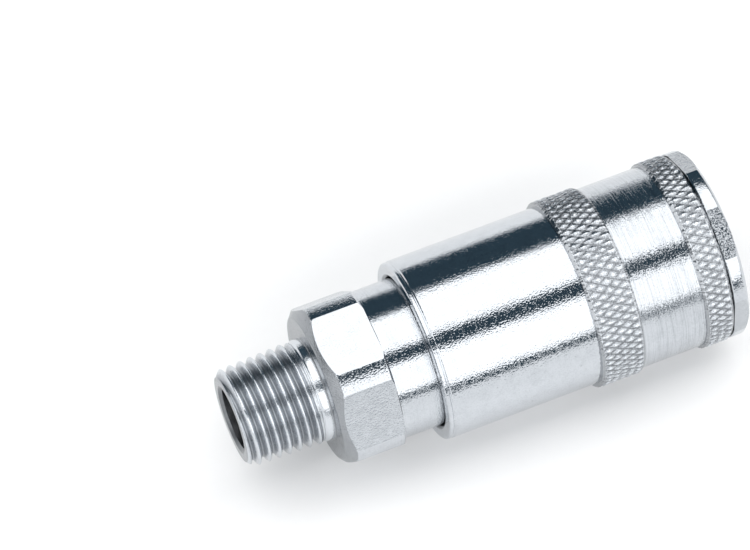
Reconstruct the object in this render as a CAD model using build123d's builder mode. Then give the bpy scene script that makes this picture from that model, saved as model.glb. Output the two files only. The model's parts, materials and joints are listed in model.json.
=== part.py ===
from build123d import *
import os
from math import atan, cos, degrees, radians, sin, tan

os.makedirs("parts", exist_ok=True)

# Quick disconnect coupler, socket half. The axis of symmetry is the X axis: x = 0 is the
# end face of the male inlet thread, and the plug enters from +X. +Z is up. Millimetres.

# ---- inlet thread: R 1/4, 19 turns to the inch, 55 degree form, taper 1 in 16 ----
thread_pitch = 25.4 / 19
thread_gauge_dia = 13.157
thread_gauge_length = 6.0
thread_length = 9.7
thread_depth = 0.856
thread_flank_angle = 27.5
thread_taper = 1 / 32
thread_end_chamfer = 0.8
thread_over_cut = 0.15
thread_lead_in = 0.9
thread_run_out = 0.5

# ---- inlet adaptor: shank, hexagon and neck ----
shank_dia = 13.3
shank_end = 11.3
hex_across_flats = 20.0
hex_corner_dia = 21.7
hex_length = 7.8
hex_rear_face_dia = 18.6
hex_rear_chamfer = 1.3
hex_front_chamfer = 0.35
neck_exposed = 5.4
inlet_bore_dia = 8.0
bore_chamfer = 0.4

# ---- plug opening ----
plug_bore_dia = 12.1
guide_bore_dia = 12.6
guide_bore_length = 7.5
mouth_chamfer = 0.8
plug_recess = 4.1

# ---- locking balls ----
ball_count = 8
ball_dia = 4.0
ball_bite = 0.87
ball_proud = 0.04

# ---- release sleeve ----
sleeve_length = 38.35
sleeve_travel = 4.2
sleeve_wall = 1.8
sleeve_lip = 0.5
sleeve_shoulder = 20.5
shoulder_height = 0.75
rear_knurl_start = 20.46
rear_knurl_length = 5.84
front_knurl_length = 3.64
knurl_rise = 0.69
knurl_chamfer = 0.3
waist_rise = 0.22
front_land_length = 2.43
release_recess_length = 2.2

# ---- socket body ----
spigot_wall = 1.3
spigot_length = 7.1
barrel_step = 0.3
land_setback = 1.5
flange_dia = 24.6
flange_across_flats = 23.7
flange_thickness = 2.2
flange_turn = 23.7
flange_chamfer = 0.4
stop_chamfer = 0.2

# ---- seals ----
plug_seal_wire = 2.4
plug_seal_bite = 1.1
plug_seal_setback = 5.4
plug_seal_groove = 2.6
joint_seal_thickness = 1.5

# ---- valve ----
seat_setback = 7.6
seat_bore_gap = 0.5
seal_cover = 0.65
seal_bevel = 0.45
seal_thickness = 1.9
flow_gap = 0.85
head_inset = 0.15
head_thickness = 1.9
stem_dia = 3.0
stem_tail = 4.1
stem_chamfer = 0.3
boss_dia = 4.4
boss_length = 4.0
crown_wall = 1.1
crown_length = 6.2
crown_base = 1.0
crown_window_setback = 0.5
crown_window_length = 3.5
crown_window_width = 3.2
crown_window_count = 4
guide_depth = 14.0
guide_thickness = 3.0
guide_hub_dia = 5.2
guide_hub_length = 5.5
guide_arm_width = 1.6
guide_arm_count = 4

# ---- springs ----
sleeve_spring_wire = 1.1
sleeve_spring_turns = 4
sleeve_spring_length = 10.2
washer_thickness = 0.8
valve_spring_wire = 0.9
valve_spring_turns = 7
valve_spring_inset = 0.25

# ---- clearances: gaps between pieces, and overlaps inside one piece ----
running_gap = 0.06
ball_hole_gap = 0.03
ball_track_gap = 0.02
ball_free_gap = 0.03
recess_gap = 0.07
neck_gap = 0.23
spring_side_gap = 0.325
spring_end_gap = 0.02
washer_gap = 0.15
spigot_gap = 0.04
stop_gap = 0.05
groove_gap = 0.05
crown_gap = 0.35
seat_gap = 0.02
stem_gap = 0.05
guide_gap = 0.05
joint_seal_gap = 0.1
rim_landing = 0.15
weld_overlap = 0.5

# ---- radii, from the plug bore outwards ----
plug_bore_r = plug_bore_dia / 2
guide_bore_r = guide_bore_dia / 2
ball_r = ball_dia / 2
ball_locked_r = plug_bore_r - ball_bite + ball_r
ball_lift = ball_bite + ball_free_gap
land_r = ball_locked_r + ball_r - ball_proud
sleeve_land_r = land_r + running_gap
track_slope = ball_lift / sleeve_travel
track_at_ball_r = ball_locked_r + (ball_r + ball_track_gap) / cos(atan(track_slope))
recess_r = ball_locked_r + ball_lift + ball_r + recess_gap
plug_seal_r = plug_bore_r - plug_seal_bite + plug_seal_wire / 2
seal_groove_r = plug_seal_r + plug_seal_wire / 2 + groove_gap
crown_r = plug_bore_r - plug_seal_bite - crown_gap
crown_bore_r = crown_r - crown_wall
seat_bore_r = crown_r + seat_bore_gap
seal_r = seat_bore_r + seal_cover
head_r = seal_r - head_inset
chamber_r = seal_r + flow_gap
spigot_r = chamber_r + spigot_wall
barrel_r = spigot_r + barrel_step
spring_space_r = barrel_r + sleeve_spring_wire + 2 * spring_side_gap
sleeve_bore_r = max(spring_space_r, sleeve_land_r + shoulder_height)
neck_r = sleeve_bore_r - neck_gap
sleeve_r = sleeve_bore_r + sleeve_wall
waist_r = sleeve_r + waist_rise
knurl_r = sleeve_r + knurl_rise
sleeve_spring_r = (barrel_r + sleeve_bore_r) / 2
valve_spring_r = head_r - valve_spring_inset - valve_spring_wire / 2
guide_rim_bore_r = valve_spring_r - valve_spring_wire / 2 - rim_landing
stem_bore_r = stem_dia / 2 + stem_gap
boss_bore_r = boss_dia / 2 + stem_gap

# ---- stations along the axis ----
hex_end = shank_end + hex_length
sleeve_start = hex_end + neck_exposed
sleeve_end = sleeve_start + sleeve_length
rear_knurl_x = sleeve_start + rear_knurl_start
rear_knurl_end = rear_knurl_x + rear_knurl_length
front_knurl_x = sleeve_end - front_knurl_length
recess_end = sleeve_end - front_land_length
ramp_end = recess_end - release_recess_length
ball_x = ramp_end - (recess_r - track_at_ball_r) / track_slope
ramp_start = ball_x - (track_at_ball_r - sleeve_land_r) / track_slope
shoulder_x = sleeve_start + sleeve_shoulder
land_x = shoulder_x + land_setback
washer_x = shoulder_x - washer_thickness
adaptor_face = washer_x - sleeve_spring_length
spigot_x = adaptor_face - spigot_length
counterbore_x = spigot_x - joint_seal_thickness
guide_x = adaptor_face - guide_depth
flange_x = sleeve_end + stop_gap
mouth_x = flange_x + flange_thickness
guide_bore_x = mouth_x - guide_bore_length
plug_seal_x = ball_x - plug_seal_setback
plug_step_x = plug_seal_x - plug_recess
seat_x = plug_seal_x - seat_setback
seat_end = seat_x + chamber_r - seat_bore_r
seal_contact_x = seat_x + chamber_r - seal_r - seat_gap / cos(radians(45))
seal_front_x = seal_contact_x + seal_bevel
head_end = seal_front_x - seal_thickness
head_x = head_end - head_thickness
stem_tail_x = guide_x - stem_tail
crown_window_x = seal_front_x + crown_base + crown_window_setback

# ---- thread form ----
flank_slope = tan(radians(thread_flank_angle))
thread_crest_r = thread_gauge_dia / 2 - thread_gauge_length * thread_taper
thread_root_half = thread_pitch / 4 - thread_depth / 2 * flank_slope
thread_top_half = thread_root_half + (thread_depth + thread_over_cut) * flank_slope
helix_start = -thread_lead_in * thread_pitch
helix_end = thread_length - thread_run_out
helix_start_r = thread_crest_r + helix_start * thread_taper - thread_depth


def write(part, name):
    """Label one finished piece and write its STEP file."""
    part.label = name
    export_step(part, f"parts/{name}.step")


def coil_spring(name, start_x, end_x, turns, coil_r, wire_dia):
    """A round-wire compression spring about the X axis, clear of both seats by the end gap."""
    wire_r = wire_dia / 2
    first_x = start_x + wire_r + spring_end_gap
    coil_height = end_x - start_x - wire_dia - 2 * spring_end_gap
    with BuildPart() as spring:
        with BuildLine() as coil:
            Helix(coil_height / turns, coil_height, coil_r, (first_x, 0, 0), (1, 0, 0))
        with BuildSketch(Plane(origin=coil.line @ 0, z_dir=coil.line % 0)):
            Circle(wire_r)
        sweep(path=coil.line, is_frenet=True)
    write(spring.part, name)


# ---- inlet adaptor: taper thread, shank, hexagon, neck and the joint for the body ----
with BuildLine() as thread_path:
    Helix(
        thread_pitch,
        helix_end - helix_start,
        helix_start_r,
        center=(helix_start, 0, 0),
        direction=(1, 0, 0),
        cone_angle=degrees(atan(thread_taper)),
    )
thread_origin = thread_path.line @ 0
thread_radial = Vector(0, thread_origin.Y, thread_origin.Z)
with BuildPart() as thread_cutter:
    with BuildSketch(Plane(thread_origin, x_dir=thread_radial, z_dir=thread_path.line % 0)):
        Polygon(
            (0, -thread_root_half),
            (0, thread_root_half),
            (thread_depth + thread_over_cut, thread_top_half),
            (thread_depth + thread_over_cut, -thread_top_half),
            align=None,
        )
    sweep(path=thread_path.line, is_frenet=True)

with BuildPart() as inlet_adaptor:
    with BuildSketch(Plane.YZ.offset(shank_end)):
        RegularPolygon(hex_across_flats / 2, 6, major_radius=False)
    extrude(amount=hex_length)
    with BuildSketch() as hex_turning:
        with BuildLine():
            Polyline(
                (shank_end, 0),
                (shank_end, hex_rear_face_dia / 2),
                (shank_end + hex_rear_chamfer, hex_corner_dia / 2),
                (hex_end - hex_front_chamfer, hex_corner_dia / 2),
                (hex_end, hex_corner_dia / 2 - hex_front_chamfer),
                (hex_end, 0),
                close=True,
            )
        make_face()
    revolve(axis=Axis.X, mode=Mode.INTERSECT)
    with BuildSketch() as stem_turning:
        with BuildLine():
            Polyline(
                (0, 0),
                (0, thread_crest_r - thread_end_chamfer),
                (thread_end_chamfer, thread_crest_r + thread_end_chamfer * thread_taper),
                (thread_length, thread_crest_r + thread_length * thread_taper),
                (thread_length, shank_dia / 2),
                (shank_end + weld_overlap, shank_dia / 2),
                (shank_end + weld_overlap, 0),
                close=True,
            )
        make_face()
    revolve(axis=Axis.X)
    with BuildSketch() as neck_turning:
        with BuildLine():
            Polyline(
                (hex_end - weld_overlap, 0),
                (hex_end - weld_overlap, neck_r),
                (adaptor_face, neck_r),
                (adaptor_face, 0),
                close=True,
            )
        make_face()
    revolve(axis=Axis.X)
    with BuildSketch() as inlet_boring:
        with BuildLine():
            Polyline(
                (0, 0),
                (0, inlet_bore_dia / 2 + bore_chamfer),
                (bore_chamfer, inlet_bore_dia / 2),
                (guide_x, inlet_bore_dia / 2),
                (guide_x, chamber_r),
                (counterbore_x, chamber_r),
                (counterbore_x, spigot_r + spigot_gap),
                (adaptor_face, spigot_r + spigot_gap),
                (adaptor_face, 0),
                close=True,
            )
        make_face()
    revolve(axis=Axis.X, mode=Mode.SUBTRACT)
    add(thread_cutter.part, mode=Mode.SUBTRACT)
write(inlet_adaptor.part, "inlet_adaptor")

# ---- socket body: spigot, barrel, sliding land and the flange with its six spanner flats ----
with BuildPart() as socket_body:
    with BuildSketch() as body_turning:
        with BuildLine():
            Polyline(
                (spigot_x, 0),
                (spigot_x, spigot_r),
                (adaptor_face, spigot_r),
                (adaptor_face, barrel_r),
                (land_x, barrel_r),
                (land_x, land_r),
                (flange_x, land_r),
                (flange_x, flange_dia / 2 - stop_chamfer),
                (flange_x + stop_chamfer, flange_dia / 2),
                (mouth_x - flange_chamfer, flange_dia / 2),
                (mouth_x, flange_dia / 2 - flange_chamfer),
                (mouth_x, 0),
                close=True,
            )
        make_face()
    revolve(axis=Axis.X)
    with BuildSketch(Plane.YZ.offset(flange_x)):
        Circle(flange_dia)
        RegularPolygon(
            flange_across_flats / 2, 6, major_radius=False, rotation=flange_turn, mode=Mode.SUBTRACT
        )
    extrude(amount=flange_thickness, mode=Mode.SUBTRACT)
    with BuildSketch() as body_boring:
        with BuildLine():
            Polyline(
                (spigot_x, 0),
                (spigot_x, chamber_r),
                (seat_x, chamber_r),
                (seat_end, seat_bore_r),
                (plug_step_x, seat_bore_r),
                (plug_step_x, plug_bore_r),
                (guide_bore_x - (guide_bore_r - plug_bore_r), plug_bore_r),
                (guide_bore_x, guide_bore_r),
                (mouth_x - mouth_chamfer, guide_bore_r),
                (mouth_x, guide_bore_r + mouth_chamfer),
                (mouth_x, 0),
                close=True,
            )
        make_face()
    revolve(axis=Axis.X, mode=Mode.SUBTRACT)
    with BuildSketch() as seal_grooving:
        with Locations((plug_seal_x, 0)):
            Rectangle(plug_seal_groove, seal_groove_r, align=(Align.CENTER, Align.MIN))
    revolve(axis=Axis.X, mode=Mode.SUBTRACT)
    with Locations(Plane.YZ.offset(ball_x)):
        with PolarLocations(ball_locked_r, ball_count):
            Sphere(ball_r + ball_hole_gap, mode=Mode.SUBTRACT)
        with PolarLocations(ball_locked_r, ball_count):
            Cylinder(
                ball_r + ball_hole_gap,
                land_r,
                rotation=(0, 90, 0),
                align=(Align.CENTER, Align.CENTER, Align.MIN),
                mode=Mode.SUBTRACT,
            )
write(socket_body.part, "socket_body")

# ---- joint seal: flat ring squeezed between the adaptor's step and the end of the spigot ----
with BuildPart() as joint_seal:
    with BuildSketch(Plane.YZ.offset(counterbore_x)):
        Circle(spigot_r)
        Circle(chamber_r + joint_seal_gap, mode=Mode.SUBTRACT)
    extrude(amount=joint_seal_thickness)
write(joint_seal.part, "joint_seal")

# ---- plug seal: O-ring in the groove of the plug bore ----
with BuildPart() as plug_seal:
    with BuildSketch():
        with Locations((plug_seal_x, plug_seal_r)):
            Circle(plug_seal_wire / 2)
    revolve(axis=Axis.X)
write(plug_seal.part, "plug_seal")

# ---- release sleeve: two knurled bands, a plain waist, and the ball ramp inside ----
with BuildPart() as release_sleeve:
    with BuildSketch() as sleeve_turning:
        with BuildLine():
            Polyline(
                (sleeve_start, sleeve_bore_r),
                (sleeve_start, sleeve_r - sleeve_lip),
                (sleeve_start + sleeve_lip, sleeve_r),
                (rear_knurl_x, sleeve_r),
                (rear_knurl_x, knurl_r - knurl_chamfer),
                (rear_knurl_x + knurl_chamfer, knurl_r),
                (rear_knurl_end - knurl_chamfer, knurl_r),
                (rear_knurl_end, knurl_r - knurl_chamfer),
                (rear_knurl_end, waist_r),
                (front_knurl_x, waist_r),
                (front_knurl_x, knurl_r - knurl_chamfer),
                (front_knurl_x + knurl_chamfer, knurl_r),
                (sleeve_end - knurl_chamfer, knurl_r),
                (sleeve_end, knurl_r - knurl_chamfer),
                (sleeve_end, sleeve_land_r),
                (recess_end, sleeve_land_r),
                (recess_end, recess_r),
                (ramp_end, recess_r),
                (ramp_start, sleeve_land_r),
                (shoulder_x, sleeve_land_r),
                (shoulder_x, sleeve_bore_r),
                close=True,
            )
        make_face()
    revolve(axis=Axis.X)
write(release_sleeve.part, "release_sleeve")

# ---- spring washer and the two springs ----
with BuildPart() as spring_washer:
    with BuildSketch(Plane.YZ.offset(washer_x)):
        Circle(sleeve_bore_r - washer_gap)
        Circle(barrel_r + washer_gap, mode=Mode.SUBTRACT)
    extrude(amount=washer_thickness)
write(spring_washer.part, "spring_washer")

coil_spring(
    "sleeve_spring",
    adaptor_face,
    washer_x,
    sleeve_spring_turns,
    sleeve_spring_r,
    sleeve_spring_wire,
)
coil_spring(
    "valve_spring",
    guide_x + guide_thickness,
    head_x,
    valve_spring_turns,
    valve_spring_r,
    valve_spring_wire,
)

# ---- locking balls, one node each ----
for index in range(ball_count):
    angle = radians(index * 360 / ball_count)
    with BuildPart() as locking_ball:
        with Locations((ball_x, ball_locked_r * cos(angle), ball_locked_r * sin(angle))):
            Sphere(ball_r)
    write(locking_ball.part, f"locking_ball_{index + 1}")

# ---- valve guide: rim, hub and arms ----
with BuildPart() as valve_guide:
    with BuildSketch(Plane.YZ.offset(guide_x)):
        Circle(chamber_r - guide_gap)
        Circle(guide_rim_bore_r, mode=Mode.SUBTRACT)
        Circle(guide_hub_dia / 2)
        with PolarLocations(0, guide_arm_count):
            Rectangle(guide_rim_bore_r + rim_landing, guide_arm_width, align=(Align.MIN, Align.CENTER))
        Circle(stem_bore_r, mode=Mode.SUBTRACT)
    extrude(amount=guide_thickness)
    with BuildSketch(Plane.YZ.offset(guide_x)):
        Circle(guide_hub_dia / 2)
        Circle(stem_bore_r, mode=Mode.SUBTRACT)
    extrude(amount=guide_hub_length)
write(valve_guide.part, "valve_guide")

# ---- valve stem: tail, head and the boss that carries the seal and the crown ----
with BuildPart() as valve_stem:
    with BuildSketch():
        with BuildLine():
            Polyline(
                (stem_tail_x, 0),
                (stem_tail_x, stem_dia / 2 - stem_chamfer),
                (stem_tail_x + stem_chamfer, stem_dia / 2),
                (head_x, stem_dia / 2),
                (head_x, head_r),
                (head_end, head_r),
                (head_end, boss_dia / 2),
                (head_end + boss_length, boss_dia / 2),
                (head_end + boss_length, 0),
                close=True,
            )
        make_face()
    revolve(axis=Axis.X)
write(valve_stem.part, "valve_stem")

# ---- valve seal: ring with a bevel that meets the seat cone ----
with BuildPart() as valve_seal:
    with BuildSketch():
        with BuildLine():
            Polyline(
                (head_end, boss_bore_r),
                (head_end, seal_r),
                (seal_contact_x, seal_r),
                (seal_front_x, seal_r - seal_bevel),
                (seal_front_x, boss_bore_r),
                close=True,
            )
        make_face()
    revolve(axis=Axis.X)
write(valve_seal.part, "valve_seal")

# ---- valve crown: the windowed tube that the plug's nose pushes ----
with BuildPart() as valve_crown:
    with BuildSketch(Plane.YZ.offset(seal_front_x)):
        Circle(crown_r)
        Circle(boss_bore_r, mode=Mode.SUBTRACT)
    extrude(amount=crown_base)
    with BuildSketch(Plane.YZ.offset(seal_front_x + crown_base)):
        Circle(crown_r)
        Circle(crown_bore_r, mode=Mode.SUBTRACT)
    extrude(amount=crown_length - crown_base)
    with BuildSketch(Plane.YZ.offset(crown_window_x)):
        with PolarLocations(0, crown_window_count):
            Rectangle(crown_r + crown_wall, crown_window_width, align=(Align.MIN, Align.CENTER))
    extrude(amount=crown_window_length, mode=Mode.SUBTRACT)
write(valve_crown.part, "valve_crown")
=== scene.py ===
import json
import math
from collections import namedtuple

import bmesh
import bpy
from mathutils import Matrix, Vector, noise


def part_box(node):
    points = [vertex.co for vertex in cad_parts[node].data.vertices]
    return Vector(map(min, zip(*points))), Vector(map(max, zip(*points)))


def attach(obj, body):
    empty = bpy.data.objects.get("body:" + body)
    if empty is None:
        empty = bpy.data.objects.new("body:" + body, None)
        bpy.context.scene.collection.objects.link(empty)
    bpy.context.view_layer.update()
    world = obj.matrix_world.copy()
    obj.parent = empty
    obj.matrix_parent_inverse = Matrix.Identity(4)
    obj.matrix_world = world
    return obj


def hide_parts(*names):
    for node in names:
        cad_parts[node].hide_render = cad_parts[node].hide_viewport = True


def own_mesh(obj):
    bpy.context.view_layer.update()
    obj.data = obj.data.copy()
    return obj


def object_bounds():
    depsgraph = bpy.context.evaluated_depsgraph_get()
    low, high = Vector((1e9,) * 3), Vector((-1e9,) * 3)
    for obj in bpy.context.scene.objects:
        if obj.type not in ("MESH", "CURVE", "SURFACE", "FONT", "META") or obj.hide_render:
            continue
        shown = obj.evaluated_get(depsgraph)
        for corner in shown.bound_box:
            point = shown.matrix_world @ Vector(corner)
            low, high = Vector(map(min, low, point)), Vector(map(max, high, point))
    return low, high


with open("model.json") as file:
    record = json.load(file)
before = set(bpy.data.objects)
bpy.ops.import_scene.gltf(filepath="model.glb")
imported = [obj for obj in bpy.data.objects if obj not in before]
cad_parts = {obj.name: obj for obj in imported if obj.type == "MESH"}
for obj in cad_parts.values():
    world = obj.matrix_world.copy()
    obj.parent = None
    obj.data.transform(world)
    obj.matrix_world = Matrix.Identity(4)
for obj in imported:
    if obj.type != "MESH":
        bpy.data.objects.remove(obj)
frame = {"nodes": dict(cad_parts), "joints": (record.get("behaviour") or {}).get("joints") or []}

bl_info = {
    "name": "Quick Disconnect Coupler",
    "version": (1, 0, 0),
    "blender": (4, 5, 0),
    "location": "3D View > Sidebar > Coupler",
    "description": "Builds the visible pieces of a quick disconnect coupler around its CAD frame",
    "category": "Add Mesh",
}

CAD_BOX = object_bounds()
ADAPTOR_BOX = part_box("inlet_adaptor")
SLEEVE_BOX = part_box("release_sleeve")
BODY_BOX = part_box("socket_body")
BALL_COUNT = 8

# Lengths are in metres: how near two places count as one, and how near two points are merged.
MM = 0.001
HAIR = 0.001 * MM
MERGE = 0.0001 * MM
CAD_MERGE = 0.002 * MM
# Degrees past which a turned edge is shaded sharp.
CREASE = 14
AXIS = Vector((1, 0, 0))
ORIGIN = Vector((0, 0, 0))
FULL_TURN = 2 * math.pi

# A corner of a turned outline: its place along the axis, radius and rounding, and the rows of
# faces up to the next corner.
Corner = namedtuple("Corner", "x r rounding rows", defaults=(0.0, 1))


# ---------------------------------------------------------------- settings


def length(name, description, millimetres):
    """A length property, given in millimetres and held in metres."""
    return bpy.props.FloatProperty(
        name=name,
        description=description,
        default=millimetres * MM,
        subtype="DISTANCE",
        unit="LENGTH",
        precision=5,
    )


def colour(name, description, value):
    """A linear colour property."""
    return bpy.props.FloatVectorProperty(
        name=name, description=description, default=value, size=3, subtype="COLOR", min=0, max=4
    )


class CouplerAdaptorSizes(bpy.types.PropertyGroup):
    """Sizes of the inlet adaptor: thread, shank, hexagon and neck."""

    thread_pitch: length("Thread pitch", "One turn of the taper thread", 25.4 / 19)
    gauge_radius: length("Gauge radius", "Crest radius at the gauge plane", 6.5785)
    gauge_length: length("Gauge length", "End face to gauge plane", 6.0)
    thread_length: length("Thread length", "End face to the last full crest", 9.1)
    thread_fade: length("Run-out", "Length over which the thread fades out", 1.2)
    end_chamfer: length("End chamfer", "Lead-in chamfer of the thread", 0.8)
    shank_radius: length("Shank radius", "Plain shank behind the thread", 6.65)
    undercut_radius: length("Undercut radius", "Shallow turning between thread and shank", 6.4)
    shank_end: length("Shank end", "End face to the hexagon", 11.3)
    hex_end: length("Hexagon end", "End face to the front of the hexagon", 19.1)
    hex_flat: length("Hexagon half width", "Axis to a flat of the hexagon", 10.0)
    hex_corner: length("Hexagon corner radius", "Turned corners of the hexagon", 10.85)
    hex_rear_radius: length("Hexagon rear radius", "Round face at the rear of the hexagon", 9.3)
    hex_chamfer: length("Hexagon chamfer", "Length of the rear chamfer", 1.3)
    hex_front_chamfer: length("Front chamfer", "Chamfer at the hexagon's front corners", 0.35)
    neck_radius: length("Neck radius", "Smooth neck that enters the sleeve", 9.72)
    neck_groove: length("Neck groove", "Fine turned groove where the neck meets the hexagon", 0.13)
    inlet_radius: length("Inlet radius", "Inlet bore", 4.0)
    chamber_radius: length("Chamber radius", "Valve chamber", 6.6)
    chamber_start: length("Chamber start", "End face to the valve chamber", 20.0)
    counterbore_radius: length("Counterbore radius", "Bore that takes the body's spigot", 7.94)
    counterbore_start: length("Counterbore start", "End face to the counterbore", 25.4)


class CouplerSleeveSizes(bpy.types.PropertyGroup):
    """Sizes of the release sleeve, measured from its rear lip."""

    radius: length("Sleeve radius", "Plain part behind the rear knurl", 11.75)
    waist_radius: length("Waist radius", "Turned waist between the knurls", 11.97)
    lip: length("Lip", "Width of the rounded lip at the rear", 0.55)
    groove: length("Lip groove", "Depth of the fine groove beside the lip", 0.16)
    rear_knurl_start: length("Rear knurl start", "Lip to the rear knurled band", 20.46)
    rear_knurl_end: length("Rear knurl end", "Lip to the end of the rear band", 26.3)
    front_knurl_start: length("Front knurl start", "Lip to the front knurled band", 34.71)
    knurl_edge: length("Knurl edge", "Plain chamfered edge of a knurled band", 0.3)
    knurl_depth: length("Knurl depth", "Depth of the knurl's grooves", 0.34)
    knurl_lead: length("Knurl lead", "Distance along the axis between grooves of one hand", 2.04)
    bore_radius: length("Bore radius", "Bore around the spring", 9.95)
    shoulder: length("Shoulder", "Lip to the shoulder the spring pushes", 20.5)
    land_radius: length("Land radius", "Bore that holds the balls in", 9.2)
    recess_radius: length("Recess radius", "Recess that frees the balls", 10.15)
    ramp_start: length("Ramp start", "Lip to the foot of the ball ramp", 29.286)
    ramp_end: length("Ramp end", "Lip to the top of the ball ramp", 33.72)
    recess_end: length("Recess end", "Lip to the end of the recess", 35.92)


class CouplerBodySizes(bpy.types.PropertyGroup):
    """Sizes of the socket body, measured from its rear face."""

    spigot_radius: length("Spigot radius", "Spigot in the adaptor's counterbore", 7.9)
    spigot_end: length("Spigot end", "Rear face to the spring seat", 7.1)
    barrel_radius: length("Barrel radius", "Barrel inside the spring", 8.2)
    barrel_end: length("Barrel end", "Rear face to the sliding land", 19.6)
    land_radius: length("Land radius", "Land on which the sleeve slides", 9.14)
    flange_start: length("Flange start", "Rear face to the front flange", 36.0)
    flange_radius: length("Flange radius", "Round corners of the flange", 12.3)
    flange_flat: length("Flange half width", "Axis to a flat of the flange", 11.85)
    chamber_radius: length("Chamber radius", "Valve chamber", 6.6)
    seat_start: length("Seat start", "Rear face to the valve's conical seat", 14.1)
    seat_end: length("Seat end", "Rear face to the end of the seat", 15.6)
    throat_radius: length("Throat radius", "Narrowest bore, past the seat", 5.1)
    throat_end: length("Throat end", "Rear face to the plug bore", 17.6)
    plug_radius: length("Plug bore radius", "Bore that the plug seals in", 6.05)
    groove_radius: length("Seal groove radius", "Groove of the plug seal", 7.4)
    groove_start: length("Seal groove start", "Rear face to the seal groove", 20.4)
    groove_end: length("Seal groove end", "Rear face to the groove's far side", 23.0)
    guide_start: length("Guide start", "Rear face to the wider guide bore", 30.7)
    guide_radius: length("Guide radius", "Guide bore at the mouth", 6.3)
    mouth_chamfer: length("Mouth chamfer", "Lead-in chamfer of the mouth", 0.8)
    ball_hole_radius: length("Ball hole radius", "Seat of a locking ball", 2.03)


class CouplerLook(bpy.types.PropertyGroup):
    """Colours of the finishes and of the studio."""

    plating: colour("Plating", "Bright zinc plating", (0.55, 0.576, 0.607))
    # In the grooved finishes this colour, toned down, is painted shade in the roots.
    shade: colour("Dull plating", "Greyer plating between the bright grains", (0.37, 0.392, 0.42))
    polished: colour("Polished steel", "Hardened steel of the balls", (0.78, 0.79, 0.8))
    spring: colour("Spring wire", "Drawn stainless spring wire", (0.56, 0.57, 0.58))
    brass: colour("Brass", "Turned brass of the valve", (0.83, 0.62, 0.28))
    rubber: colour("Rubber", "Nitrile rubber of the seals", (0.018, 0.018, 0.02))
    dust: colour("Dust", "Dusty patches on the rubber", (0.05, 0.05, 0.052))
    floor: colour("Floor", "Pale floor", (0.91, 0.91, 0.91))
    lit: colour("Soft boxes", "Light of the soft boxes", (2.0, 2.0, 2.0))
    unlit: colour("Gaps", "Dark gaps between the soft boxes", (0.04, 0.072, 0.098))


# ---------------------------------------------------------------- shader maths

# The Mix node's colour sockets share their names with others, so they are taken by number.
MIX_FACTOR, MIX_FIRST, MIX_SECOND, MIX_COLOUR = 0, 6, 7, 2


class Signal:
    """One shader socket. Arithmetic on it adds Math nodes."""

    def __init__(self, finish, socket):
        self.finish = finish
        self.socket = socket

    def _math(self, operation, first, second):
        node = self.finish.node("ShaderNodeMath", {"operation": operation}, [first, second])
        return Signal(self.finish, node.outputs[0])

    def __add__(self, other):
        return self._math("ADD", self, other)

    def __radd__(self, other):
        return self._math("ADD", other, self)

    def __sub__(self, other):
        return self._math("SUBTRACT", self, other)

    def __rsub__(self, other):
        return self._math("SUBTRACT", other, self)

    def __mul__(self, other):
        return self._math("MULTIPLY", self, other)

    def __rmul__(self, other):
        return self._math("MULTIPLY", other, self)


class Finish:
    """Builds the node tree of one material or world."""

    def __init__(self, owner):
        self.owner = owner
        owner.use_nodes = True
        self.tree = owner.node_tree
        self.tree.nodes.clear()

    def node(self, kind, settings=None, inputs=()):
        """Adds a node, applies its settings, then fills its sockets with values or links."""
        node = self.tree.nodes.new(kind)
        for key, value in (settings or {}).items():
            if key == "stops":
                self._stops(node.color_ramp, value)
            else:
                setattr(node, key, value)
        pairs = inputs.items() if isinstance(inputs, dict) else enumerate(inputs)
        for key, value in pairs:
            self.feed(node.inputs[key], value)
        return node

    def _stops(self, ramp, stops):
        while len(ramp.elements) < len(stops):
            ramp.elements.new(1.0)
        for element, (position, value) in zip(ramp.elements, stops):
            element.position = position
            element.color = (*value, 1.0)

    def feed(self, socket, value):
        """Links a signal, or sets a plain value."""
        if isinstance(value, Signal):
            self.tree.links.new(value.socket, socket)
        elif socket.type == "RGBA":
            socket.default_value = (*value, 1.0)
        else:
            socket.default_value = value

    def signal(self, kind, settings=None, inputs=(), output=0):
        """Adds a node and returns one of its outputs as a signal."""
        return Signal(self, self.node(kind, settings, inputs).outputs[output])

    def place(self, stretch=(1, 1, 1)):
        """The Object coordinates, in metres, multiplied by one factor per axis."""
        place = self.signal("ShaderNodeTexCoord", output="Object")
        if stretch == (1, 1, 1):
            return place
        return self.signal("ShaderNodeVectorMath", {"operation": "MULTIPLY"}, [place, stretch])

    def grain(self, place, size, detail=2.0, roughness=0.5):
        """Noise from 0 to 1 whose features are about `size` metres."""
        inputs = {"Vector": place, "Scale": 1 / size, "Detail": detail, "Roughness": roughness}
        return self.signal("ShaderNodeTexNoise", inputs=inputs)

    def spread(self, signal, low, high):
        """Stretches the part of a signal from low to high over 0 to 1."""
        inputs = {"Value": signal, "From Min": low, "From Max": high}
        return self.signal("ShaderNodeMapRange", {"clamp": True}, inputs)

    def mix(self, factor, first, second):
        """A colour between two colours."""
        inputs = {MIX_FACTOR: factor, MIX_FIRST: first, MIX_SECOND: second}
        return self.signal("ShaderNodeMix", {"data_type": "RGBA"}, inputs, output=MIX_COLOUR)

    def relief(self, height, depth, strength=1.0):
        """The surface's normal, tilted as if `height` stood `depth` metres proud."""
        inputs = {"Strength": strength, "Distance": depth, "Height": height}
        return self.signal("ShaderNodeBump", inputs=inputs, output="Normal")

    def surface(self, **sockets):
        """Ends a material in a Principled shader. Underscores in a name stand for spaces."""
        inputs = {name.replace("_", " "): value for name, value in sockets.items()}
        shader = self.signal("ShaderNodeBsdfPrincipled", inputs=inputs)
        self.node("ShaderNodeOutputMaterial", inputs={"Surface": shader})
        return self.owner


# ---------------------------------------------------------------- finishes

# Grain sizes and relief depths are in metres. A stretch above 1 packs the grain closer along
# that axis, so a high first factor with low others gives rings round the coupler.


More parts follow.
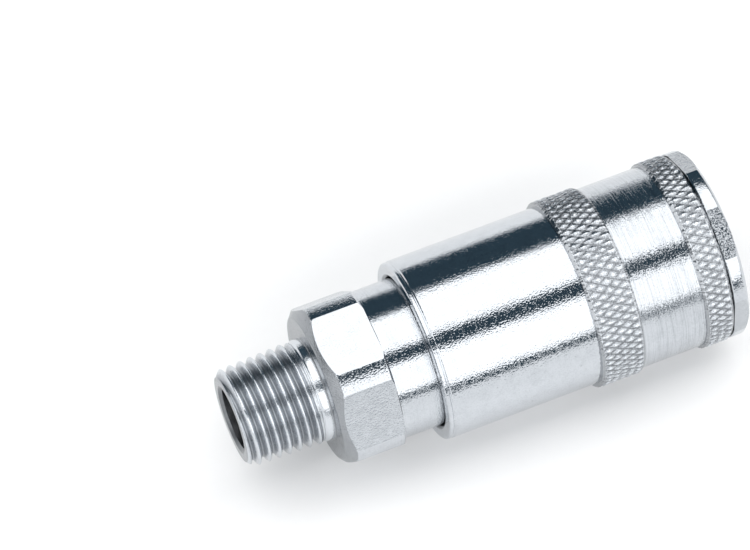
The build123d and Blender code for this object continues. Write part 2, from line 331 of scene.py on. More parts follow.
def new_finish(name):
    """Starts a material, and returns it with the scene's colours."""
    return Finish(bpy.data.materials.new(name)), bpy.context.scene.coupler_look


def toned(value, tone):
    """A colour made lighter or darker."""
    return tuple(tone * part for part in value)


def plated(name, rough, speckle, streak=0.0, mottle=0.0, salt=0.3, tone=1.0):
    """Bright zinc plating: fine grain, turning marks, dull patches and a few pits.

    speckle is the height of the fine grain and salt that of its sharper bumps, streak is how
    strong the turning marks are, and mottle how cloudy the surface is.
    """
    finish, look = new_finish(name)
    place = finish.place()
    fine = finish.grain(place, 0.0002, detail=0.6, roughness=0.5)
    turning = finish.grain(finish.place((6, 1.1, 1.1)), 0.0009, detail=2.0, roughness=0.6)
    rings = finish.grain(finish.place((9, 0.12, 0.12)), 0.0012, detail=3.0, roughness=0.65)
    cloud = finish.grain(place, 0.0013, detail=2.5, roughness=0.55)
    bumps = finish.spread(finish.grain(place, 0.00018, detail=0.0), 0.5, 0.7)
    pits = finish.spread(finish.grain(place, 0.0005, detail=1.0), 0.74, 0.82)
    # A tone below 1 darkens the whole finish; the bore, end face and knurl edge finishes use it as
    # painted shade.
    bright = toned(look.plating, tone)
    shade = toned(look.shade, tone)
    dark = toned(look.shade, tone * 0.3)
    patches = finish.spread(cloud * 0.45 + fine * 0.55, 0.42, 0.66)
    lines = finish.spread(rings, 0.46, 0.68)
    dull = patches * (0.4 + mottle * 0.5) + lines * (0.12 * streak)
    height = fine * speckle + bumps * salt + (turning * 0.5 + rings * 0.6) * streak
    return finish.surface(
        Base_Color=finish.mix(pits * 0.4, finish.mix(dull, bright, shade), dark),
        Metallic=1.0,
        Roughness=rough + (fine - 0.5) * 0.06 + (cloud - 0.5) * (0.05 + mottle * 0.3),
        Normal=finish.relief(height + cloud * (mottle * 4), 0.000015),
    )


def grooved(name, rough, crest_tone, root_shade_tone, grain, relief):
    """Plating over a cut thread or knurl: lighter crests, partly rubbed plating and partly painted
    highlight, and darker roots, painted shade that deepens with the groove.
    """
    finish, look = new_finish(name)
    place = finish.place()
    fine = finish.grain(place, grain, detail=2.0, roughness=0.6)
    torn = finish.grain(place, grain * 4, detail=2.0, roughness=0.6)
    root = finish.signal("ShaderNodeAttribute", {"attribute_name": "groove"}, output="Fac")
    # The mix below is partly real wear from the noise and partly painted shade: it darkens the
    # colour towards each groove's root.
    worn = finish.spread(root + (fine - 0.5) * 0.9 + (torn - 0.5) * 0.5, 0.08, 0.9)
    # Crests lighter than the plating are partly a painted highlight.
    crest_colour = toned(look.plating, crest_tone)
    root_shade_colour = toned(look.shade, root_shade_tone)
    return finish.surface(
        Base_Color=finish.mix(worn, crest_colour, root_shade_colour),
        Metallic=1.0,
        Roughness=rough + (fine - 0.5) * 0.16 + worn * 0.18,
        Normal=finish.relief(fine + torn * 0.8, relief),
    )


def wire(name):
    """Drawn spring wire with fine die lines."""
    finish, look = new_finish(name)
    drawn = finish.grain(finish.place((6, 1, 1)), 0.0009)
    fine = finish.grain(finish.place(), 0.0002)
    return finish.surface(
        Base_Color=finish.mix(drawn, look.spring, look.polished),
        Metallic=1.0,
        Roughness=0.24 + (drawn - 0.5) * 0.15,
        Normal=finish.relief(drawn + fine * 0.5, 0.000005),
    )


def ball_finish(name):
    """Polished ball steel with faint rolling marks."""
    finish, look = new_finish(name)
    marks = finish.grain(finish.place(), 0.0005, detail=3.0)
    return finish.surface(
        Base_Color=finish.mix(marks, look.polished, look.plating),
        Metallic=1.0,
        Roughness=0.07 + marks * 0.08,
        Normal=finish.relief(marks, 0.000001),
    )


def brass_finish(name):
    """Turned brass with fine rings and a little tarnish."""
    finish, look = new_finish(name)
    rings = finish.grain(finish.place((8, 0.5, 0.5)), 0.0009, detail=3.0)
    tarnish = finish.spread(finish.grain(finish.place(), 0.002, detail=3.0), 0.4, 0.75)
    return finish.surface(
        Base_Color=finish.mix(tarnish, look.brass, toned(look.brass, 0.62)),
        Metallic=1.0,
        Roughness=0.2 + (rings - 0.5) * 0.2 + tarnish * 0.12,
        Normal=finish.relief(rings, 0.000008),
    )


def rubber_finish(name):
    """Moulded nitrile rubber: dark, satin, slightly dusty."""
    finish, look = new_finish(name)
    fine = finish.grain(finish.place(), 0.0003, detail=3.0)
    dust = finish.spread(finish.grain(finish.place(), 0.0018, detail=3.0), 0.45, 0.8)
    return finish.surface(
        Base_Color=finish.mix(dust, look.rubber, look.dust),
        Roughness=0.42 + (fine - 0.5) * 0.2 + dust * 0.15,
        Normal=finish.relief(fine, 0.00001),
    )


def floor_finish(name):
    """A matte pale floor with a very faint tooth."""
    finish, look = new_finish(name)
    tooth = finish.grain(finish.place(), 0.0012)
    return finish.surface(
        Base_Color=finish.mix(tooth, look.floor, toned(look.floor, 0.985)),
        Roughness=0.9 + (tooth - 0.5) * 0.05,
        Specular_IOR_Level=0.0,
    )


# ---------------------------------------------------------------- mesh helpers


def spin_round(bm, steps):
    """Spins a section a full turn round the coupler's axis."""
    bmesh.ops.spin(
        bm,
        geom=bm.verts[:] + bm.edges[:],
        cent=ORIGIN,
        axis=AXIS,
        dvec=ORIGIN,
        angle=FULL_TURN,
        steps=steps,
        use_merge=True,
    )


def turned(corners, steps):
    """Spins a closed outline of corners into a mesh."""
    bm = bmesh.new()
    points = [bm.verts.new((c.x, 0, c.r)) for c in corners]
    edges = [bm.edges.new(pair) for pair in zip(points, points[1:] + points[:1])]
    for edge, corner in zip(edges, corners):
        if corner.rows > 1:
            bmesh.ops.subdivide_edges(bm, edges=[edge], cuts=corner.rows - 1)
    for size in sorted({c.rounding for c in corners if c.rounding}):
        spots = [Vector((c.x, 0, c.r)) for c in corners if c.rounding == size]
        bmesh.ops.bevel(
            bm,
            geom=[v for v in bm.verts if any((v.co - spot).length < HAIR for spot in spots)],
            offset=size,
            offset_type="OFFSET",
            segments=3,
            profile=0.5,
            affect="VERTICES",
            material=-1,
        )
    spin_round(bm, steps)
    bmesh.ops.remove_doubles(bm, verts=bm.verts[:], dist=MERGE)
    bmesh.ops.recalc_face_normals(bm, faces=bm.faces[:])
    return bm


def mill_flats(bm, distance, first_angle, low, high):
    """Cuts six flats round the axis between two places along it, and returns the new faces."""
    flats = []
    for index in range(6):
        angle = math.radians(first_angle + 60 * index)
        outward = Vector((0, math.cos(angle), math.sin(angle)))
        geometry = set()
        for face in bm.faces:
            centre = face.calc_center_median()
            if low < centre.x < high and centre.dot(outward) > distance * 0.8:
                geometry.update([face, *face.verts, *face.edges])
        bmesh.ops.bisect_plane(
            bm,
            geom=list(geometry),
            dist=MERGE,
            plane_co=outward * distance,
            plane_no=outward,
            clear_outer=True,
        )
        rim = [e for e in bm.edges if e.is_boundary]
        flats += bmesh.ops.holes_fill(bm, edges=rim, sides=0)["faces"]
    bmesh.ops.recalc_face_normals(bm, faces=bm.faces[:])
    return flats


def shade(bm, limit, fine=lambda co: False):
    """Smooth shading that breaks at edges sharper than `limit` degrees, except in fine relief."""
    for face in bm.faces:
        face.smooth = True
    for edge in bm.edges:
        if len(edge.link_faces) == 2 and not all(fine(v.co) for v in edge.verts):
            edge.smooth = edge.calc_face_angle(0) < math.radians(limit)


def finish_piece(bm, name, finishes, body, node):
    """Turns a mesh into a named piece that rides on a body and stands for a CAD node."""
    mesh = bpy.data.meshes.new(name)
    bm.to_mesh(mesh)
    bm.free()
    for material in finishes:
        mesh.materials.append(material)
    piece = bpy.data.objects.new(name, mesh)
    bpy.context.scene.collection.objects.link(piece)
    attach(piece, body)
    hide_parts(node)
    return piece


def copy_of(node):
    """A merged copy of a CAD node's mesh."""
    bm = bmesh.new()
    bm.from_mesh(frame["nodes"][node].data)
    bmesh.ops.remove_doubles(bm, verts=bm.verts[:], dist=CAD_MERGE)
    return bm


def around(co):
    """A point's distance from the axis and its angle round it."""
    return math.hypot(co.y, co.z), math.atan2(co.z, co.y)


def inward(face):
    """True for a face that looks towards the axis, as in a bore."""
    centre = face.calc_center_median()
    radius, _ = around(centre)
    return face.normal.y * centre.y + face.normal.z * centre.z < -0.3 * radius


def move_out(vert, radius):
    """Moves a point square to the axis until it stands at a radius."""
    now, _ = around(vert.co)
    vert.co.y *= radius / now
    vert.co.z *= radius / now


def round_section(bm, along, out, radius, sides):
    """Adds a circle in the plane of the axis, to be spun into a ring or a coil."""
    place = Matrix.Translation((along, 0, out)) @ Matrix.Rotation(math.pi / 2, 4, "X")
    bmesh.ops.create_circle(bm, cap_ends=False, segments=sides, radius=radius, matrix=place)


def wound(start_x, mean_radius, wire_radius, coils, steps_per_turn=48, sides=14):
    """A coil spring round the axis. Each entry of coils is its turns and the advance per turn."""
    bm = bmesh.new()
    round_section(bm, start_x, mean_radius, wire_radius, sides)
    start = bm.edges[:]
    section = bm.verts[:] + bm.edges[:]
    for turns, advance in coils:
        steps = max(1, round(turns * steps_per_turn))
        result = bmesh.ops.spin(
            bm,
            geom=section,
            cent=ORIGIN,
            axis=AXIS,
            dvec=AXIS * (advance * turns / steps),
            angle=FULL_TURN * turns,
            steps=steps,
        )
        section = [g for g in result["geom_last"] if not isinstance(g, bmesh.types.BMFace)]
    rims = start + [e for e in section if isinstance(e, bmesh.types.BMEdge)]
    bmesh.ops.holes_fill(bm, edges=[e for e in rims if e.is_boundary], sides=0)
    bmesh.ops.remove_doubles(bm, verts=bm.verts[:], dist=MERGE)
    bmesh.ops.recalc_face_normals(bm, faces=bm.faces[:])
    return bm


# ---------------------------------------------------------------- pieces


class COUPLER_OT_adaptor(bpy.types.Operator):
    """Turns the inlet adaptor, cuts its taper thread and mills its hexagon"""

    bl_idname = "coupler.adaptor"
    bl_label = "Inlet Adaptor"

    steps = 168
    rows_per_thread = 20
    taper = 1 / 32
    # The 55 degree thread form: its sharp height and its rounded depth, as shares of the pitch.
    sharp_height = 0.960491
    thread_depth = 0.640327
    # The order of the finishes.
    thread, turned_band, neck, flat, bore, face = range(6)

    def execute(self, context):
        size = context.scene.coupler_adaptor
        rear = ADAPTOR_BOX[0].x
        neck_end = ADAPTOR_BOX[1].x
        hexagon = rear + size.shank_end
        hex_front = rear + size.hex_end
        bm = turned(self.outline(size, rear, neck_end), self.steps)
        self.cut_thread(bm, size, rear)
        flats = mill_flats(bm, size.hex_flat, 90, hexagon - MM * 0.1, hex_front + MM * 0.1)
        for face in bm.faces:
            centre = face.calc_center_median()
            radius, _ = around(centre)
            # Faces in the fine neck groove take the dark bore finish: a painted shadow line.
            into_groove = abs(centre.x - hex_front - size.neck_groove / 2)
            if into_groove < size.neck_groove * 0.6 and radius < size.neck_radius + MM * 0.3:
                face.material_index = self.bore
            elif centre.x > hex_front - MM * 0.01:
                face.material_index = self.neck
            elif centre.x > hexagon + size.hex_chamfer - MM * 0.1 and radius > size.chamber_radius:
                face.material_index = self.turned_band
            elif centre.x > hexagon - MM * 0.15 and radius > size.chamber_radius:
                face.material_index = self.face
            elif centre.x < rear + HAIR:
                face.material_index = self.face
            if inward(face) or radius < size.inlet_radius + MM * 0.5:
                face.material_index = self.bore
        for face in flats:
            face.material_index = self.flat
        thread_end = hexagon - MM * 0.4
        shade(bm, CREASE, lambda co: co.x < thread_end and around(co)[0] > MM * 5)
        finishes = [
            # The thread's roots are painted shade and its crests partly painted highlight.
            grooved("thread_plating", 0.15, 1.08, 0.85, 0.00018, 0.00002),
            plated("hexagon_turned_plating", 0.1, 1.5, streak=2.6),
            plated("neck_plating", 0.08, 0.8, streak=2.2),
            plated("hexagon_flat_plating", 0.2, 0.9, mottle=0.12, salt=0.12),
            # The bore finish, at a tone of 0.35, is painted shade inside the bores and in the neck
            # groove.
            plated("bore_plating", 0.3, 1.0, streak=1.2, tone=0.35),
            # The end face and the hexagon's rear face, at a tone of 0.58, are darkened as painted
            # shade.
            plated("turned_face_plating", 0.26, 1.8, streak=1.0, tone=0.58),
        ]
        finish_piece(bm, "adaptor_threaded", finishes, "root", "inlet_adaptor")
        return {"FINISHED"}

    def crest(self, size, along):
        """Radius of the tapered crests at a distance from the end face."""
        return size.gauge_radius + (along - size.gauge_length) * self.taper

    def outline(self, size, rear, neck_end):
        """The adaptor's section: outside from thread to neck, then back through the bore."""
        chamfer = size.end_chamfer
        last = size.thread_length + size.thread_fade * 0.4
        thread_rows = round((last - chamfer) / size.thread_pitch * self.rows_per_thread)
        hexagon = rear + size.shank_end
        hex_front = rear + size.hex_end
        groove_floor = size.neck_radius - size.neck_groove
        counterbore = rear + size.counterbore_start
        return [
            Corner(rear, self.crest(size, 0) - chamfer, rows=12),
            Corner(rear + chamfer, self.crest(size, chamfer), rows=thread_rows),
            Corner(rear + last, self.crest(size, last), rows=8),
            Corner(rear + last + MM * 0.5, size.undercut_radius, rows=4),
            Corner(rear + last + MM * 0.75, size.shank_radius),
            Corner(hexagon, size.shank_radius, MM * 0.12),
            Corner(hexagon, size.hex_rear_radius, MM * 0.1),
            Corner(hexagon + size.hex_chamfer, size.hex_corner, MM * 0.25),
            Corner(hex_front - size.hex_front_chamfer, size.hex_corner, MM * 0.1),
            Corner(hex_front, size.hex_corner - size.hex_front_chamfer),
            Corner(hex_front, groove_floor),
            Corner(hex_front + size.neck_groove * 0.6, groove_floor),
            Corner(hex_front + size.neck_groove, size.neck_radius),
            Corner(neck_end, size.neck_radius, MM * 0.3),
            Corner(neck_end, size.counterbore_radius, MM * 0.2),
            Corner(counterbore, size.counterbore_radius),
            Corner(counterbore, size.chamber_radius, MM * 0.1),
            Corner(rear + size.chamber_start, size.chamber_radius, MM * 0.3),
            Corner(rear + size.chamber_start, size.inlet_radius, MM * 0.1),
            Corner(rear + MM * 0.4, size.inlet_radius),
            Corner(rear, size.inlet_radius + MM * 0.4, MM * 0.05),
        ]

    def cut_thread(self, bm, size, rear):
        """Presses a right-handed rounded V thread into the turned blank."""
        pitch = size.thread_pitch
        sharp_height = self.sharp_height * pitch
        depth = self.thread_depth * pitch
        straight = math.pi * depth / 4
        groove = bm.verts.layers.float.new("groove")
        for vert in bm.verts:
            along = vert.co.x - rear
            radius, angle = around(vert.co)
            fade = (size.thread_length + size.thread_fade - along) / size.thread_fade
            if fade <= 0 or radius < MM * 5:
                continue
            turn = (along / pitch - angle / FULL_TURN) % 1
            flank = sharp_height * (0.5 - abs(2 * turn - 1))
            rounded = depth / 2 * math.sin(math.pi / 2 * max(-1, min(1, flank / straight)))
            cut = (depth / 2 - rounded) * min(1, fade)
            # The groove depth also darkens the thread's roots in its finish, as painted shade.
            vert[groove] = cut / depth
            if along > HAIR:
                move_out(vert, min(radius, self.crest(size, along) - cut))


class COUPLER_OT_body(bpy.types.Operator):
    """Turns the socket body, mills the flange and bores the ball holes"""

    bl_idname = "coupler.body"
    bl_label = "Socket Body"

    steps = 176
    first_flat = 113.7
    bore_reach = 4 * MM
    barrel, flange, flange_flat, bore = range(4)

    def execute(self, context):
        size = context.scene.coupler_body
        rear = BODY_BOX[0].x
        front = BODY_BOX[1].x
        flange = rear + size.flange_start
        mouth_radius = size.guide_radius + size.mouth_chamfer
        bm = turned(self.outline(size, rear, front), self.steps)
        flats = mill_flats(
            bm, size.flange_flat, self.first_flat, flange - MM * 0.1, front + MM * 0.1
        )
        for face in bm.faces:
            centre = face.calc_center_median()
            radius, _ = around(centre)
            if centre.x > flange - MM * 0.01 and radius > mouth_radius:
                face.material_index = self.flange
            elif radius < size.spigot_radius - MM * 0.1:
                face.material_index = self.bore
        for face in flats:
            face.material_index = self.flange_flat
        shade(bm, CREASE)
        finishes = [
            plated("body_plating", 0.16, 1.0, streak=1.0),
            plated("flange_plating", 0.1, 1.0, streak=0.6),
            plated("flange_flat_plating", 0.06, 2.4, mottle=0.15, salt=1.4, tone=0.86),
            # The bore finish, at a tone of 0.8, is painted shade inside the body.
            plated("body_bore_plating", 0.2, 0.8, streak=1.6, tone=0.8),
        ]
        piece = finish_piece(bm, "body_flanged", finishes, "root", "socket_body")
        self.bore_ball_holes(piece, size)
        return {"FINISHED"}

    def outline(self, size, rear, front):
        """The body's section: outside from spigot to flange, then back through the bore."""
        flange = rear + size.flange_start
        relief_floor = size.flange_radius - MM * 1.6
        return [
            Corner(rear, size.spigot_radius, MM * 0.15),
            Corner(rear + size.spigot_end, size.spigot_radius),
            Corner(rear + size.spigot_end, size.barrel_radius, MM * 0.1),
            Corner(rear + size.barrel_end, size.barrel_radius),
            Corner(rear + size.barrel_end, size.land_radius, MM * 0.2),
            Corner(flange, size.land_radius),
            Corner(flange, relief_floor),
            Corner(flange + MM * 0.2, relief_floor),
            Corner(flange + MM * 0.2, size.flange_radius - MM * 0.12),
            Corner(flange + MM * 0.32, size.flange_radius, MM * 0.05),
            Corner(front - MM * 0.45, size.flange_radius, MM * 0.12),
            Corner(front, size.flange_radius - MM * 0.45, MM * 0.15),
            Corner(front, size.guide_radius + size.mouth_chamfer, MM * 0.12),
            Corner(front - size.mouth_chamfer, size.guide_radius, MM * 0.12),
            Corner(rear + size.guide_start, size.guide_radius, MM * 0.1),
            Corner(rear + size.guide_start, size.plug_radius, MM * 0.08),
            Corner(rear + size.groove_end, size.plug_radius, MM * 0.12),
            Corner(rear + size.groove_end, size.groove_radius),
            Corner(rear + size.groove_start, size.groove_radius),
            Corner(rear + size.groove_start, size.plug_radius, MM * 0.12),
            Corner(rear + size.throat_end, size.plug_radius),
            Corner(rear + size.throat_end, size.throat_radius, MM * 0.15),
            Corner(rear + size.seat_end, size.throat_radius, MM * 0.15),
            Corner(rear + size.seat_start, size.chamber_radius),
            Corner(rear, size.chamber_radius, MM * 0.15),
        ]

    def bore_ball_holes(self, piece, size):
        """Cuts the eight ball seats: a ball end and a straight bore outwards."""
        radius = size.ball_hole_radius
        bm = bmesh.new()
        for number in range(1, BALL_COUNT + 1):
            low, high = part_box(f"locking_ball_{number}")
            centre = (low + high) / 2
            outward = Vector((0, centre.y, centre.z)).normalized()
            upright = outward.to_track_quat("Z", "X").to_matrix().to_4x4()
            seat = bmesh.ops.create_uvsphere(
                bm,
                u_segments=40,
                v_segments=20,
                radius=radius,
                matrix=Matrix.Translation(centre) @ upright,
            )
            # The outer half of the ball is drawn out into the bore.
            for vert in seat["verts"]:
                rise = outward.dot(vert.co - centre)
                if rise > 0.01 * radius:
                    across = vert.co - centre - outward * rise
                    if across.length > 0.98 * radius:
                        across *= radius / across.length
                    vert.co = centre + across + outward * self.bore_reach
        mesh = bpy.data.meshes.new("ball_bores")
        bm.to_mesh(mesh)
        bm.free()
        cutter = bpy.data.objects.new("ball_bores", mesh)
        bpy.context.scene.collection.objects.link(cutter)
        cut = piece.modifiers.new("ball_bores", "BOOLEAN")
        cut.operation = "DIFFERENCE"
        cut.solver = "EXACT"
        cut.object = cutter
        graph = bpy.context.evaluated_depsgraph_get()
        bored = bpy.data.meshes.new_from_object(piece.evaluated_get(graph))
        piece.modifiers.clear()
        piece.data = bored
        bpy.data.objects.remove(cutter)


class COUPLER_OT_sleeve(bpy.types.Operator):
    """Turns the release sleeve and rolls its two knurled bands"""

    bl_idname = "coupler.sleeve"
    bl_label = "Release Sleeve"

    grooves = 68
    steps_per_groove = 8
    rows_per_lead = 16
    # How fast the wheel's wander, unevenness and wear change, per metre.
    wander, uneven, wear = 400, 900, 1500
    plain, waist, knurl, bore, knurl_edge = range(5)

    def execute(self, context):
        size = context.scene.coupler_sleeve
        rear = SLEEVE_BOX[0].x
        front = SLEEVE_BOX[1].x
        crest = SLEEVE_BOX[1].z
        bands = [
            (rear + size.rear_knurl_start, rear + size.rear_knurl_end),
            (rear + size.front_knurl_start, front),
        ]
        steps = self.grooves * self.steps_per_groove
        bm = turned(self.outline(size, rear, front, bands, crest), steps)
        self.roll_knurl(bm, size, bands, crest)
        for face in bm.faces:
            centre = face.calc_center_median()
            radius, _ = around(centre)
            if radius < size.recess_radius + MM * 0.2:
                face.material_index = self.bore
            elif self.band_at(bands, centre.x, size.knurl_edge * 0.8):
                face.material_index = self.knurl
            elif self.band_at(bands, centre.x, -HAIR):
                face.material_index = self.knurl_edge
            elif bands[0][1] < centre.x < bands[1][0]:
                face.material_index = self.waist
            else:
                face.material_index = self.plain
        shade(bm, CREASE, lambda co: self.band_at(bands, co.x, MM * 0.15))
        finishes = [
            plated("sleeve_plating", 0.07, 1.0, streak=0.15),
            plated("waist_plating", 0.08, 0.4, streak=6.2),
            # The knurl's roots are painted shade and its crests partly painted highlight.
            grooved("knurl_plating", 0.1, 1.45, 0.55, 0.00018, 0.00008),
            # The bore finish, at a tone of 0.6, is painted shade inside the sleeve.
            plated("sleeve_bore_plating", 0.25, 0.8, streak=1.4, tone=0.6),
            # The chamfered ends of the knurled bands, at a tone of 0.62, are darkened as a painted
            # shadow line.
            plated("knurl_edge_plating", 0.2, 1.0, streak=1.0, tone=0.62),
        ]
        finish_piece(bm, "sleeve_knurled", finishes, "sleeve", "release_sleeve")
        return {"FINISHED"}

    def band_at(self, bands, along, margin):
        """The knurled band that holds a place, at least a margin inside the band's ends."""
        return next((b for b in bands if b[0] + margin < along < b[1] - margin), None)

    def outline(self, size, rear, front, bands, crest):
        """The sleeve's section: outside from lip to front, then back through the bore."""
        edge = size.knurl_edge
        row = size.knurl_lead / self.rows_per_lead
        groove_start = rear + size.lip
        groove_floor = size.radius - size.groove
        knurls = []
        for (low, high), before in zip(bands, (size.radius, size.waist_radius)):
            knurls += [
                Corner(low, before),
                Corner(low, crest - edge),
                Corner(low + edge, crest, rows=round((high - low - 2 * edge) / row)),
                Corner(high - edge, crest),
                Corner(high, crest - edge),
            ]
            if high < front:
                knurls.append(Corner(high, size.waist_radius))
        return [
            Corner(rear, size.bore_radius + MM * 0.25, MM * 0.1),
            Corner(rear, size.radius - MM * 0.3),
            Corner(rear + MM * 0.12, size.radius - MM * 0.08, MM * 0.1),
            Corner(groove_start - MM * 0.06, size.radius - MM * 0.04, MM * 0.08),
            Corner(groove_start + MM * 0.04, groove_floor, MM * 0.03),
            Corner(groove_start + MM * 0.16, groove_floor, MM * 0.03),
            Corner(groove_start + MM * 0.3, size.radius, MM * 0.08),
            *knurls,
            Corner(front, size.land_radius + MM * 0.2, MM * 0.05),
            Corner(front - MM * 0.2, size.land_radius),
            Corner(rear + size.recess_end, size.land_radius, MM * 0.1),
            Corner(rear + size.recess_end, size.recess_radius),
            Corner(rear + size.ramp_end, size.recess_radius, MM * 0.3),
            Corner(rear + size.ramp_start, size.land_radius, MM * 0.3),
            Corner(rear + size.shoulder, size.land_radius, MM * 0.1),
            Corner(rear + size.shoulder, size.bore_radius),
            Corner(rear + MM * 0.25, size.bore_radius),
        ]

    def roll_knurl(self, bm, size, bands, crest):
        """Presses two hands of grooves into each band, a little unevenly, as a worn wheel does."""
        groove = bm.verts.layers.float.new("groove")
        for vert in bm.verts:
            along = vert.co.x
            radius, angle = around(vert.co)
            band = self.band_at(bands, along, -HAIR)
            if band is None or radius < crest - size.knurl_edge - MM * 0.01:
                continue
            inside = min(along - band[0], band[1] - along) / size.knurl_edge
            if inside < 0.5:
                continue
            # Each hand is 0 in its groove and 1 midway to the next. The tracks are the fainter
            # double line that the wheel leaves in each diamond.
            drift = noise.noise(vert.co * self.wander) * 0.05
            turn = self.grooves * angle / FULL_TURN
            run = (along - band[0]) / size.knurl_lead
            hands = [1 - abs(2 * ((turn + way * run + drift) % 1) - 1) for way in (1, -1)]
            tracks = [abs(2 * ((2 * hand + 0.4) % 1) - 1) for hand in hands]
            rise = min(1.0, min(hands) / 0.92) * 0.78 + 0.22 * min(tracks)
            ripple = noise.noise(vert.co * self.uneven + Vector((7, 3, 5)))
            depth = size.knurl_depth * (0.88 + 0.24 * ripple)
            worn = MM * 0.02 * abs(noise.noise(vert.co * self.wear))
            ease = min(1, (inside - 0.5) * 1.2)
            # The groove depth also darkens the knurl's roots in its finish, as painted shade.
            vert[groove] = (1 - rise) * ease
            move_out(vert, radius - (depth * (1 - rise) + worn) * ease)


class COUPLER_OT_springs(bpy.types.Operator):
    """Winds the sleeve spring and the valve spring"""

    bl_idname = "coupler.springs"
    bl_label = "Springs"

    def execute(self, context):
        drawn = wire("spring_wire")
        self.wind("sleeve_spring", "spring_turn", "sleeve_slide", MM * 0.54, 4, drawn)
        self.wind("valve_spring", "root", "valve_slide", MM * 0.44, 7, drawn)
        return {"FINISHED"}

    def wind(self, node, body, joint, wire_radius, turns, drawn):
        """Winds a spring in its CAD node's box."""
        low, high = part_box(node)
        free = high.x - low.x
        closed = 2.1 * wire_radius
        open_turns = turns - 2
        lead = (free - 2 * wire_radius - MM * 0.04 - 2 * closed) / open_turns
        coils = [(1, closed), (open_turns, lead), (1, closed)]
        start = low.x + wire_radius + MM * 0.02
        bm = wound(start, high.z - wire_radius - MM * 0.01, wire_radius, coils)
        shade(bm, 50)
        piece = finish_piece(bm, f"{node}_wound", [drawn], body, node)
        limits = next(j["range_m"] for j in frame["joints"] if j["name"] == joint)
        keep = (free - max(abs(limit) for limit in limits)) / free
        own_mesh(piece)


class COUPLER_OT_balls(bpy.types.Operator):
    """Makes the eight locking balls"""

    bl_idname = "coupler.balls"
    bl_label = "Locking Balls"

    def execute(self, context):
        steel = ball_finish("ball_steel")
        for number in range(1, BALL_COUNT + 1):
            node = f"locking_ball_{number}"
            low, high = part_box(node)
            bm = bmesh.new()
            bmesh.ops.create_icosphere(
                bm,
                subdivisions=4,
                radius=(high.x - low.x) / 2 * 0.999,
                matrix=Matrix.Translation((low + high) / 2),
            )
            shade(bm, 60)
            name = f"ball_polished_{number}"
            finish_piece(bm, name, [steel], f"ball_{number}", node)
        return {"FINISHED"}


class COUPLER_OT_valve(bpy.types.Operator):
    """Finishes the brass valve: guide, stem and crown, and its seal"""

    bl_idname = "coupler.valve"
    bl_label = "Valve"

    def execute(self, context):
        brass = brass_finish("valve_brass")
        rubber = rubber_finish("valve_rubber")
        pieces = [
            ("valve_guide", "guide_turned", "root", "valve_brass", brass),
            ("valve_stem", "stem_turned", "valve", "valve_brass", brass),
            ("valve_crown", "crown_turned", "valve", "valve_brass", brass),
            ("valve_seal", "valve_seal_moulded", "valve", "seal_rubber", rubber),
        ]
        for node, name, body, slot, material in pieces:
            bm = copy_of(node)
            shade(bm, 30)
            finish_piece(bm, name, [material], body, node)
        return {"FINISHED"}


class COUPLER_OT_seals(bpy.types.Operator):
    """Makes the joint seal, the plug's O-ring and the spring washer"""

    bl_idname = "coupler.seals"
    bl_label = "Seals and Washer"

    joint_seal_bore = MM * 6.7
    washer_bore = MM * 8.35

    def execute(self, context):
        rubber = rubber_finish("seal_rubber")
        low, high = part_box("plug_seal")
        section = (high.x - low.x) / 2
        bm = bmesh.new()
        round_section(bm, (low.x + high.x) / 2, high.z - section, section * 0.998, 32)
        spin_round(bm, 128)
        bmesh.ops.recalc_face_normals(bm, faces=bm.faces[:])
        shade(bm, 60)
        finish_piece(bm, "plug_seal_moulded", [rubber], "root", "plug_seal")
        bm = self.ring("joint_seal", self.joint_seal_bore, MM * 0.25)
        finish_piece(bm, "joint_seal_moulded", [rubber], "root", "joint_seal")
        washer = plated("washer_plating", 0.2, 1.0, streak=0.8)
        bm = self.ring("spring_washer", self.washer_bore, MM * 0.12)
        finish_piece(bm, "washer_flat", [washer], "sleeve", "spring_washer")
        return {"FINISHED"}

    def ring(self, node, inner, rounding):
        """Turns a plain ring with rounded edges in its CAD node's box."""
        low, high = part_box(node)
        corners = [
            Corner(low.x, high.z, rounding),
            Corner(high.x, high.z, rounding),
            Corner(high.x, inner, rounding),
            Corner(low.x, inner, rounding),
        ]
        bm = turned(corners, 128)
        shade(bm, 30)
        return bm


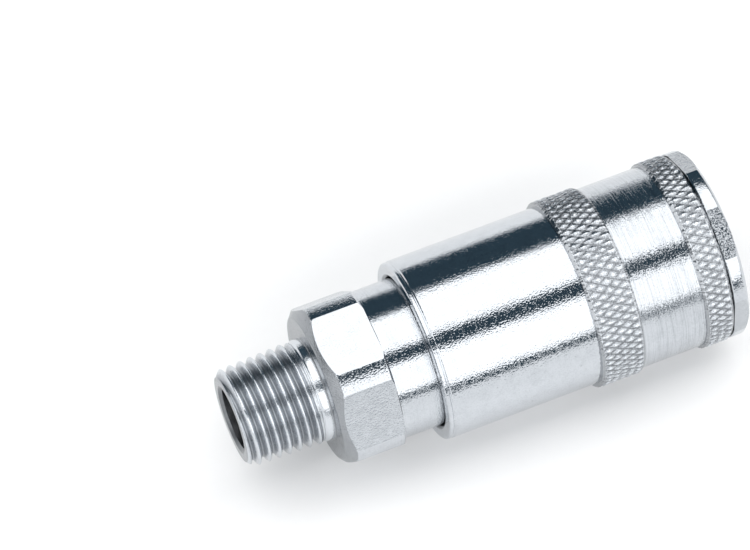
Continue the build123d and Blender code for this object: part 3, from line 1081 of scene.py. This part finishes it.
class COUPLER_OT_stage(bpy.types.Operator):
    """Lays the floor, lights the studio and sets up the camera"""

    bl_idname = "coupler.stage"
    bl_label = "Stage"

    floor_gap = MM * 0.02
    floor_half_width = 4.0
    # Where each soft box starts and ends, in degrees up from the front of the coupler, and how
    # far its light takes to fade in and out.
    soft_boxes = ((9, 57), (76, 132))
    soft_edge = 0.5

    def execute(self, context):
        self.lay_floor()
        self.light(context.scene.coupler_look)
        self.aim_camera(context)
        context.scene.view_settings.view_transform = "Standard"
        return {"FINISHED"}

    def lay_floor(self):
        """A wide pale floor just under the coupler."""
        bm = bmesh.new()
        place = Matrix.Translation((0, 0, CAD_BOX[0].z - self.floor_gap))
        half = self.floor_half_width
        bmesh.ops.create_grid(bm, x_segments=8, y_segments=8, size=half, matrix=place)
        mesh = bpy.data.meshes.new("floor")
        bm.to_mesh(mesh)
        bm.free()
        mesh.materials.append(floor_finish("floor_matte"))
        floor = bpy.data.objects.new("floor", mesh)
        bpy.context.scene.collection.objects.link(floor)

    def light(self, look):
        """Two long soft boxes along the coupler, one in front and one overhead, with dark gaps."""
        world = bpy.data.worlds.new("studio")
        bpy.context.scene.world = world
        studio = Finish(world)
        direction = studio.signal("ShaderNodeTexCoord", output="Generated")
        parts = studio.node("ShaderNodeSeparateXYZ", inputs=[direction])
        up = Signal(studio, parts.outputs["Z"])
        front = Signal(studio, parts.outputs["Y"]) * -1.0
        turn = studio.signal("ShaderNodeMath", {"operation": "ARCTAN2"}, [up, front])
        edge = self.soft_edge
        stops = []
        for low, high in self.soft_boxes:
            stops += [
                ((low - edge) / 180, look.unlit),
                ((low + edge) / 180, look.lit),
                ((high - edge) / 180, look.lit),
                ((high + edge) / 180, look.unlit),
            ]
        bands = studio.signal("ShaderNodeValToRGB", {"stops": stops}, [turn * (1 / math.pi)])
        glow = studio.signal("ShaderNodeBackground", inputs={"Color": bands, "Strength": 1.0})
        studio.node("ShaderNodeOutputWorld", inputs={"Surface": glow})

    def aim_camera(self, context):
        """A long lens, looking down and along the coupler from its threaded end."""
        turn = math.radians(-22.8)
        rise = math.radians(61.8)
        target = Vector((0.033, 0, 0))
        distance, aside, above = 0.625, 0.0126, 0.00667
        right = Vector((math.cos(turn), math.sin(turn), 0))
        back = Vector(
            (math.sin(turn) * math.cos(rise), -math.cos(turn) * math.cos(rise), math.sin(rise))
        )
        up = back.cross(right)
        place = target - right * aside + up * above + back * distance
        axes = Matrix((right, up, back)).transposed().to_4x4()
        lens = bpy.data.cameras.new("camera")
        lens.lens = 240
        lens.sensor_width = 36
        lens.clip_start = 0.01
        lens.clip_end = 20
        camera = bpy.data.objects.new("camera", lens)
        camera.matrix_world = Matrix.Translation(place) @ axes
        context.scene.collection.objects.link(camera)
        context.scene.camera = camera


OPERATORS = (
    COUPLER_OT_stage,
    COUPLER_OT_adaptor,
    COUPLER_OT_body,
    COUPLER_OT_sleeve,
    COUPLER_OT_springs,
    COUPLER_OT_balls,
    COUPLER_OT_valve,
    COUPLER_OT_seals,
)

GROUPS = {
    "coupler_adaptor": CouplerAdaptorSizes,
    "coupler_sleeve": CouplerSleeveSizes,
    "coupler_body": CouplerBodySizes,
    "coupler_look": CouplerLook,
}


class COUPLER_PT_panel(bpy.types.Panel):
    """Lists the coupler's operators and sizes in the sidebar"""

    bl_label = "Quick Disconnect Coupler"
    bl_space_type = "VIEW_3D"
    bl_region_type = "UI"
    bl_category = "Coupler"

    def draw(self, context):
        for operator in OPERATORS:
            self.layout.operator(operator.bl_idname)
        for pointer in GROUPS:
            group = getattr(context.scene, pointer)
            box = self.layout.box()
            for name in group.bl_rna.properties.keys():
                if name not in ("rna_type", "name"):
                    box.prop(group, name)


def register():
    for name, group in GROUPS.items():
        bpy.utils.register_class(group)
        setattr(bpy.types.Scene, name, bpy.props.PointerProperty(type=group))
    for operator in OPERATORS:
        bpy.utils.register_class(operator)
    bpy.utils.register_class(COUPLER_PT_panel)


def unregister():
    bpy.utils.unregister_class(COUPLER_PT_panel)
    for operator in reversed(OPERATORS):
        bpy.utils.unregister_class(operator)
    for name, group in GROUPS.items():
        delattr(bpy.types.Scene, name)
        bpy.utils.unregister_class(group)


def main():
    register()
    for operator in OPERATORS:
        family, call = operator.bl_idname.split(".")
        getattr(getattr(bpy.ops, family), call)()


if __name__ == "__main__":
    main()
